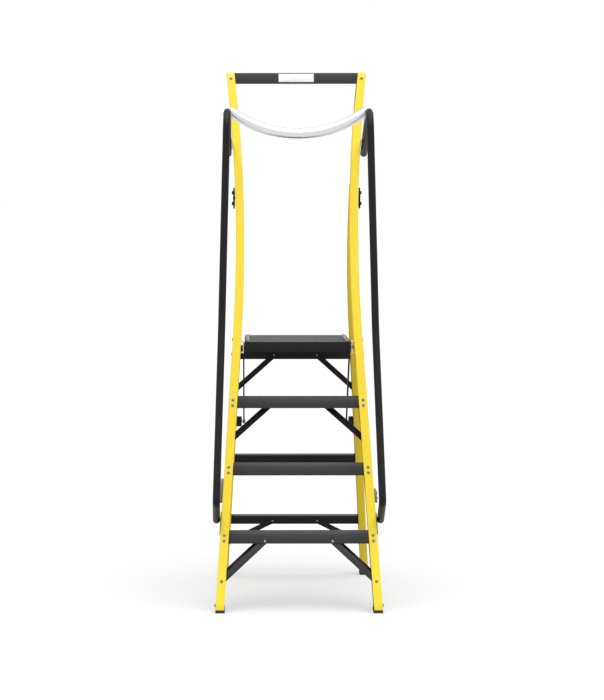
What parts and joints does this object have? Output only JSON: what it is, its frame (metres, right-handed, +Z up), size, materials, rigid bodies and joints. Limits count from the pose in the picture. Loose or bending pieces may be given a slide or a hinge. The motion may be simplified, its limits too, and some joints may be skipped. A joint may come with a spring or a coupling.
{
  "type": "folding platform steps",
  "caption": "Folding platform steps: tapered yellow glass-fibre stiles, grey treads and platform, black tubular handrails, a bowed gate bar and a hinged rear frame.",
  "frame": {"origin": "on the floor, under the middle of the standing frame's bounding box", "axes": "+Z up, +X to the climber's right, +Y from the climbing side to the rear frame"},
  "size_m": [0.6518, 0.9968, 2.05],
  "materials": {
    "yellow_glass_fibre": "satin pultruded glass fibre",
    "dark_grey_coat": "satin powder coat",
    "black_coat": "satin powder coat",
    "zinc_plate": "bright zinc plate",
    "dull_steel": "dull plated steel",
    "satin_aluminium": "satin tube",
    "black_rubber": "moulded"
  },
  "bodies": {
    "front_frame": {"front_stile_left": "yellow_glass_fibre", "front_stile_right": "yellow_glass_fibre", "tread_1": "dark_grey_coat", "tread_2": "dark_grey_coat", "tread_3": "dark_grey_coat", "top_bar": "dark_grey_coat", "lower_brace_left": "dark_grey_coat", "lower_brace_right": "dark_grey_coat", "knee_brace_left": "black_coat", "knee_brace_right": "black_coat", "front_foot_left": "black_rubber", "front_foot_right": "black_rubber", "handrail_left": "black_coat", "handrail_right": "black_coat", "handrail_plug_left": "black_coat", "handrail_plug_right": "black_coat", "handrail_spacer_left": "zinc_plate", "handrail_spacer_right": "zinc_plate", "handrail_foot_plate_left": "dark_grey_coat", "handrail_foot_plate_right": "dark_grey_coat", "handrail_stay_left": "dull_steel", "handrail_stay_right": "dull_steel", "platform_bracket_left": "zinc_plate", "platform_bracket_right": "zinc_plate", "platform_pin_left": "black_coat", "platform_pin_right": "black_coat", "hinge_plate_left": "black_coat", "hinge_plate_right": "black_coat", "hinge_pin_left": "black_coat", "hinge_pin_right": "black_coat", "gate_pin_left": "zinc_plate", "gate_pin_right": "zinc_plate"},
    "rear_frame": {"rear_leg_left": "yellow_glass_fibre", "rear_leg_right": "yellow_glass_fibre", "rear_bar_top": "black_coat", "rear_bar_middle": "black_coat", "rear_bar_lower": "black_coat", "rear_upper_brace_left": "black_coat", "rear_upper_brace_right": "black_coat", "rear_lower_brace_left": "black_coat", "rear_lower_brace_right": "black_coat", "rear_foot_left": "black_rubber", "rear_foot_right": "black_rubber", "link_block_left": "black_coat", "link_block_right": "black_coat", "link_pin_left": "zinc_plate", "link_pin_right": "zinc_plate"},
    "platform": {"platform_deck": "dark_grey_coat", "platform_lip": "black_coat", "platform_strip_left": "dull_steel", "platform_strip_right": "dull_steel"},
    "link_left": {"link_left": "black_coat", "link_rivet_left": "zinc_plate"},
    "link_right": {"link_right": "black_coat", "link_rivet_right": "zinc_plate"},
    "gate": {"gate_bar": "satin_aluminium", "gate_cap_left": "zinc_plate", "gate_cap_right": "zinc_plate"}
  },
  "joints": [
    {"name": "rear_frame_fold", "type": "hinge", "parent": "front_frame", "child": "rear_frame", "pos_m": [0, 0.18124, 1.555], "axis": [-1, 0, 0], "range_deg": [0, 27.21]},
    {"name": "platform_fold", "type": "hinge", "parent": "front_frame", "child": "platform", "pos_m": [0, -0.11482, 0.98], "axis": [1, 0, 0], "range_deg": [0, 72.95]},
    {"name": "link_left_fold", "type": "hinge", "parent": "rear_frame", "child": "link_left", "pos_m": [-0.2085, 0.33112, 0.649], "axis": [-1, 0, 0], "range_deg": [0, 18.35]},
    {"name": "link_right_fold", "type": "hinge", "parent": "rear_frame", "child": "link_right", "pos_m": [0.2085, 0.33112, 0.649], "axis": [-1, 0, 0], "range_deg": [0, 18.35]},
    {"name": "gate_lift", "type": "hinge", "parent": "front_frame", "child": "gate", "pos_m": [0, -0.19093, 1.87967], "axis": [1, 0, 0], "range_deg": [0, 115]}
  ],
  "couplings": [
    {"joint": "platform_fold", "follows": "rear_frame_fold", "ratio": 2.6799},
    {"joint": "link_left_fold", "follows": "rear_frame_fold", "ratio": 0.67309},
    {"joint": "link_right_fold", "follows": "rear_frame_fold", "ratio": 0.67309}
  ]
}
